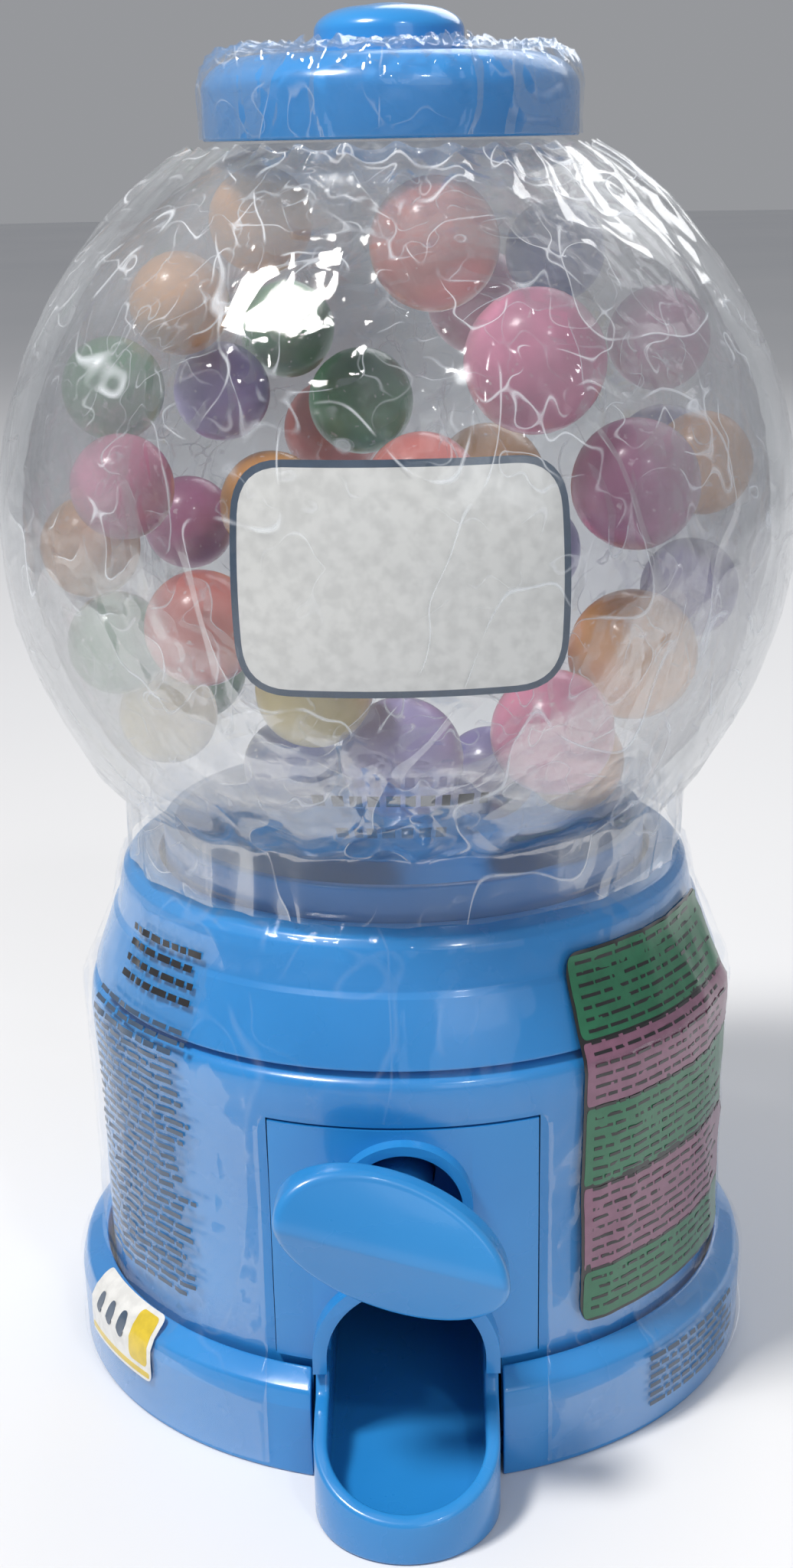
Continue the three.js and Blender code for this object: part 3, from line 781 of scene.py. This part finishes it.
def skin(name, line, rise, thickness=0.07, columns=320):
    """A closed thin skin turned from an open line that runs upwards, and pushed out by rise(point, share)."""
    bm = bmesh.new()
    last = len(line) - 1
    rows = []
    for i, (r, z) in enumerate(line):
        r0, z0 = line[max(i - 1, 0)]
        r1, z1 = line[min(i + 1, last)]
        out = Vector((z1 - z0, r0 - r1)).normalized()
        row = []
        for k in range(columns):
            turn = 2 * math.pi * k / columns
            push = rise(Vector((r * math.cos(turn), r * math.sin(turn), z)), i / last)
            reach = r + out.x * push
            spot = Vector((reach * math.cos(turn), reach * math.sin(turn), z + out.y * push))
            row.append(bm.verts.new(spot * MM))
        rows.append(row)
    for low, high in zip(rows, rows[1:]):
        for k in range(columns):
            n = (k + 1) % columns
            bm.faces.new((low[k], low[n], high[n], high[k]))
    piece = new_object(name, to_mesh(bm, name, 80))
    solid = piece.modifiers.new("Solidify", "SOLIDIFY")
    solid.thickness = thickness * MM
    solid.offset = -1
    apply_modifiers(piece)
    smooth(piece.data, 80)
    return piece


def resample(line, step):
    """Points about one step apart along a line."""
    result = [line[0]]
    for a, b in zip(line, line[1:]):
        count = max(1, round(math.dist(a, b) / step))
        result += [(a[0] + (b[0] - a[0]) * k / count, a[1] + (b[1] - a[1]) * k / count)
                   for k in range(1, count + 1)]
    return result


def film_globe():
    low, high = math.radians(-43), math.radians(61)
    line = [(30.6, 60.3), (30.7, 62.5), (30.8, 65)] + sphere_line(GLOBE_R, low, high, 110)
    return skin("film_over_globe", resample(line, 0.8), lambda point, share: film_rise(point))


def film_lid():
    """The film over the lid, pleated down its side, with a ring crease in front and a ruffled free edge."""
    line = [(LID_R + 0.25, 134.9), (LID_R + 0.25, LID_SHOULDER)] + lid_line(0.3)[1:] + [(9.0, LID_TOP + 0.3)]
    ring_at = Vector((0.9, -18.6, 138.6))

    def rise(point, share):
        turn = math.atan2(point.x, -point.y)
        wander = noise.noise(point * 0.12) * 3
        pleats = (0.5 + 0.5 * math.sin(turn * 29 + wander * 5)) ** 4 * 0.12
        ring = 0.55 * math.exp(-(((point - ring_at).length - 7.3) / 0.45) ** 2)
        crumple = 0.3 * crease(point, 0.16, 5) * ramp_up(share, 0.1, 0.45)
        shoulder = math.exp(-((share - 0.52) / 0.12) ** 2)
        torn = shoulder * (0.8 * crease(point + Vector((0, 0, 9)), 0.45, 3) + 0.5 * crease(point, 1.1, 3))
        ruffle = ramp_up(share, 0.88, 1) * (0.5 + 0.5 * math.sin(turn * 17 + wander * 4)) * 1.3
        return 0.05 + pleats + ring + crumple + torn + ruffle

    return skin("film_over_lid", resample(line, 0.45), rise)


BODY_LINE = [(40.45, 0.9), (40.45, 9.1), (39.5, 10.9), (37.05, 12.9), (36.95, 31), (37.25, 37), (37.35, 45.3),
             (36.5, 47), (33.5, 54), (32.7, 58.3), (30.6, 60.2)]


def body_rise(point, share):
    folds = 0.3 * crease(Vector((point.x, point.y, point.z * 0.35)), 0.13, 6)
    fine = 0.12 * crease(point, 0.5, 5)
    return 0.02 + (folds + fine) * ramp_up(point.z, 10, 16)


def film_body():
    sleeve = skin("film_round_body", resample(BODY_LINE, 0.9), body_rise)
    window = fillet([(-15, -3), (15, -3), (15, 41.4), (-15, 41.4)], 2.5, 8)
    return cut(sleeve, prism("window", window, along_y, (-60, -20)))


def candy_bag():
    """The crumpled clear bag that the gumballs are in."""
    line = sphere_line(39.9, math.radians(-44), math.radians(68), 150)

    def rise(point, share):
        out = (point - Vector((0, 0, GLOBE_Z))).normalized()
        big = crease(out + Vector((3, 1, 0)), 2.6, 3) * 0.55
        small = crease(out + Vector((0, 5, 0)), 7, 4) * 0.4
        gather = ramp_up(share, 0.72, 1) * (0.5 + 0.5 * math.sin(math.atan2(point.x, point.y) * 27)) * 0.5
        return -0.5 + min(1.3, big + small + gather)

    return skin("crumpled_bag", line, rise, 0.05)


def patch(name, outlines, place, low, high, cell=1.4):
    """Thin closed plates, cut to flat outlines and laid on a curved surface by place(u, v, lift)."""
    bm = bmesh.new()
    for outline in outlines:
        bm.faces.new([bm.verts.new((u, v, high)) for u, v in outline])
    for axis in (Vector((1, 0, 0)), Vector((0, 1, 0))):
        reach = [vert.co.dot(axis) for vert in bm.verts]
        for k in range(math.ceil(min(reach) / cell), math.floor(max(reach) / cell) + 1):
            everything = bm.verts[:] + bm.edges[:] + bm.faces[:]
            bmesh.ops.bisect_plane(bm, geom=everything, plane_co=axis * (k * cell), plane_no=axis)
    faces = bm.faces[:]
    rim = [edge for edge in bm.edges if len(edge.link_faces) == 1]
    twin = {vert: bm.verts.new((vert.co.x, vert.co.y, low)) for vert in bm.verts[:]}
    for face in faces:
        bm.faces.new([twin[vert] for vert in reversed(face.verts)])
    for edge in rim:
        a, b = edge.verts
        bm.faces.new((a, b, twin[b], twin[a]))
    for vert in bm.verts:
        vert.co = Vector(place(*vert.co)) * MM
    return new_object(name, to_mesh(bm, name, 50))


def on_globe(u, v, lift):
    """A point between globe and film, from arc lengths right of and above the middle of the front."""
    across, up = u / FILM_R, v / FILM_R
    out = Vector((math.sin(across) * math.cos(up), -math.cos(across) * math.cos(up), math.sin(up)))
    return Vector((0, 0, GLOBE_Z)) + out * (GLOBE_R + 0.06 + lift)


def on_body(u, v, lift):
    """A point on the body's film: u is degrees round from the front, v the way up its line."""
    left = v
    for (r0, z0), (r1, z1) in zip(BODY_LINE, BODY_LINE[1:]):
        length = math.dist((r0, z0), (r1, z1))
        if left <= length:
            break
        left -= length
    share = left / length
    out = Vector((z1 - z0, r0 - r1)).normalized()
    r, z = r0 + (r1 - r0) * share, z0 + (z1 - z0) * share
    turn = math.radians(u)
    push = body_rise(Vector((r * math.sin(turn), -r * math.cos(turn), z)), 0) + lift
    return ((r + out.x * push) * math.sin(turn), -(r + out.x * push) * math.cos(turn), z + out.y * push)


def block(left, low, right, high, radius, steps=8):
    return fillet([(left, low), (right, low), (right, high), (left, high)], radius, steps)


def disc(u, v, r, squash=1.0, turn=0.0):
    points = arc(0, 0, r, 0, 2 * math.pi, 36, r * squash)[:-1]
    c, s = math.cos(turn), math.sin(turn)
    return [(u + a * c - b * s, v + a * s + b * c) for a, b in points]


LABEL = (-15, -10, 17, 12)
LABEL_EDGE = 0.7
LABEL_LAYER = 0.022
LABEL_THICK = 0.02


def label():
    """A blank label with a thin edge, in place of the printed mark."""
    left, low, right, high = LABEL
    ground = block(left + LABEL_EDGE, low + LABEL_EDGE, right - LABEL_EDGE, high - LABEL_EDGE, 4.3)
    parts = [("label_edge", "grey", block(left, low, right, high, 5)), ("label_ground", "white", ground)]
    for layer, (name, colour, outline) in enumerate(parts):
        lift = layer * LABEL_LAYER
        piece = patch("print_" + name, [outline], on_globe, lift, lift + LABEL_THICK)
        fitted(piece, "base", "clear_film", INKS[colour])


def rules(left, low, right, high, pitch, height, seed, word=(1.5, 5.5)):
    """Rows of short dashes, like unreadable small print."""
    draw = random.Random(seed)
    outlines = []
    v = high - height
    while v > low:
        u = left
        end = right - draw.random() * (right - left) * 0.16
        while u < end - word[0] * 0.5:
            stop = min(end, u + draw.uniform(*word))
            outlines.append([(u, v), (stop, v), (stop, v + height), (u, v + height)])
            u = stop + draw.uniform(0.5, 0.9)
        v -= pitch
    return outlines


PRINT_LOW, PRINT_HIGH, PRINT_LAYER = 0.03, 0.058, 0.03
RULE_THICK = 0.03
RIGHT_EDGE, RIGHT_START = 75.5, 30.6


def body_prints():
    """Plain blocks of colour and dashes on the film round the body, where the real film is printed."""
    def band(bottom, top, radius=0.6):
        return block(RIGHT_START, bottom, RIGHT_EDGE, top, radius)

    jobs = [
        ("left_rules", "grey", rules(-66, 16.5, -37, 48.5, 1.16, 0.52, 3, (1.6, 5.2)), 1),
        ("left_large_rules", "black", rules(-60, 49.5, -37.5, 57, 1.75, 0.72, 4, (1.2, 3.6)), 1),
        ("right_edge", "black", [block(30, 15, 76, 57.5, 3)], 0),
        ("right_green", "green", [band(48.2, 57.1, 1.2), band(31.5, 40.6), band(15.4, 21.2, 1.2)], 1),
        ("right_pink", "mauve", [band(40.9, 47.9), band(21.5, 31.2)], 1),
        ("right_rules", "black", rules(32.2, 16.2, 74, 56.4, 1.2, 0.36, 5, (1.2, 4.4)), 2),
        ("foot_rules", "grey", rules(41, 1.2, 68, 8.4, 1.15, 0.5, 8, (1, 3.6)), 1),
        ("sticker", "white", [block(-66, 4.2, -45, 12.6, 1.4)], 0),
        ("sticker_edge", "yellow", [block(-65.4, 4.6, -45.6, 5.3, 0.3), block(-51, 5.9, -46, 12, 1)], 1),
        ("sticker_marks", "grey", [disc(u, 8.9, r, 1.3) for u, r in ((-54, 1.2), (-58, 1.1), (-62, 1))], 1),
    ]
    for name, colour, outlines, layer in jobs:
        lift = layer * PRINT_LAYER
        piece = patch("print_" + name, outlines, on_body, PRINT_LOW + lift, PRINT_HIGH + lift)
        fitted(piece, "base", "clear_film", INKS[colour])
    for k, (low, high, left, right) in enumerate(((-23.2, -21.7, -9.5, 12.0), (-28.2, -26.6, -7.5, 7.5))):
        dashes = rules(left, low - 0.1, right, high, 3, high - low, 11 + k, (0.9, 1.8))
        piece = patch(f"print_globe_rule_{k + 1}", dashes, on_globe, 0.0, RULE_THICK)
        fitted(piece, "base", "clear_film", INKS["black"])


INKS = {
    "black": ink("ink_black", (0.012, 0.012, 0.014)),
    "yellow": ink("ink_yellow", (0.72, 0.53, 0.035)),
    "white": ink("ink_white", (0.78, 0.78, 0.76)),
    "green": ink("ink_green", (0.02, 0.17, 0.08)),
    "mauve": ink("ink_mauve", (0.27, 0.12, 0.19)),
    "grey": ink("ink_grey", (0.05, 0.085, 0.14)),
}


# ---- Gumballs ----
CANDY_COLOURS = {
    "pink": (0.86, 0.27, 0.45), "plum": (0.66, 0.25, 0.45), "salmon": (0.72, 0.22, 0.19),
    "navy": (0.05, 0.11, 0.42), "green": (0.07, 0.27, 0.11), "orange": (0.82, 0.37, 0.08),
    "lavender": (0.43, 0.38, 0.72), "cream": (0.86, 0.72, 0.34), "violet": (0.17, 0.13, 0.44),
}


def gumball(node, shell):
    """A ball with the uneven roundness of a coated sweet."""
    low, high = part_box(node)
    centre = (Vector(low) + Vector(high)) / 2
    radius = (high[2] - low[2]) / 2
    bm = bmesh.new()
    bmesh.ops.create_icosphere(bm, subdivisions=4, radius=1)
    shift = centre * 900
    for vert in bm.verts:
        out = vert.co.normalized()
        uneven = 0.982 + 0.012 * noise.noise(out * 1.4 + shift) + 0.004 * noise.noise(out * 5 + shift)
        vert.co = centre + out * radius * uneven
    piece = new_object("sweet_" + node[-2:], to_mesh(bm, "sweet_" + node[-2:], 80))
    slot = next(part["material_slot"] for part in frame["record"]["subparts"] if part["node"] == node)
    return fitted(piece, "base", slot, shell[slot], node)


def gumballs():
    shell = {"candy_" + name: candy("candy_" + name, colour) for name, colour in CANDY_COLOURS.items()}
    for node in sorted(name for name in frame["nodes"] if name.startswith("gumball_")):
        gumball(node, shell)


# ---- Everything put together ----
def centre_of(node):
    low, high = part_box(node)
    return (Vector(low) + Vector(high)) / (2 * MM)


def screws():
    for node in ("base_screw_1", "base_screw_2", "base_screw_3"):
        spot = centre_of(node)
        made = screw("screw_" + node, 2.6, 10, (spot.x, spot.y, 0.02))
        fitted(made, "base", "steel", STEEL, node)
    for node in ("housing_screw_1", "housing_screw_2"):
        spot = centre_of(node)
        made = screw("screw_" + node, 2.4, 8, (spot.x, spot.y, 41.7))
        fitted(made, "base", "steel", STEEL, node)
    low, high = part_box("drum_screw")
    spot = centre_of("drum_screw")
    forward = Matrix.Rotation(math.pi / 2, 4, "X")
    made = screw("screw_drum", 2.3, (high - low).y / MM, (spot.x, high.y / MM, spot.z), forward)
    fitted(made, "dial", "steel", STEEL, "drum_screw")


def keep(node, material):
    """Gives a CAD node that stays in view its material and softened edges."""
    shown = frame["nodes"][node]
    for holder in shown.material_slots:
        holder.material = material
    rounding = shown.modifiers.new("Edges", "BEVEL")
    rounding.width = 0.2 * MM
    rounding.segments = 2
    rounding.limit_method = "ANGLE"


def floor():
    bm = bmesh.new()
    outline = arc(0, 0, 4000, 0, 2 * math.pi, 64)[:-1]
    bm.faces.new([bm.verts.new(Vector((x, y, 0)) * MM) for x, y in outline])
    ground = new_object("floor", to_mesh(bm, "floor"))
    ground.data.materials.append(floor_material())


def build():
    fitted(lid(), "lid", "blue_plastic", BLUE, "lid")
    fitted(globe(), "base", "clear_globe", GLOBE_CLEAR, "globe")
    fitted(top_cover(), "base", "blue_plastic", BLUE, "top_cover")
    fitted(body_shell(), "base", "blue_plastic", BLUE, "body_shell")
    fitted(front_plate(), "base", "blue_plastic", BLUE, "front_plate")
    fitted(outlet_tray(), "base", "blue_plastic", BLUE, "outlet_tray")
    fitted(foot_ring(), "base", "blue_plastic", BLUE, "foot_ring")
    fitted(bottom_plate(), "base", "inner_plastic", SHADED_INNER_BLUE, "bottom_plate")
    fitted(hopper(), "base", "inner_plastic", SHADED_INNER_BLUE, "hopper")
    fitted(dial_knob(), "dial", "blue_plastic", BLUE, "dial_knob")
    keep("drum_housing", SHADED_INNER_BLUE)
    keep("dispensing_drum", SHADED_INNER_BLUE)
    screws()
    gumballs()
    fitted(candy_bag(), "base", "clear_film", BAG_CLEAR, "candy_bag")
    fitted(film_globe(), "base", "clear_film", FILM_CLEAR, "film_globe")
    fitted(film_lid(), "lid", "clear_film", LID_FILM_CLEAR, "film_lid")
    fitted(film_body(), "base", "clear_film", BODY_FILM_CLEAR, "film_body")
    label()
    body_prints()


camera()
studio()
floor()
build()
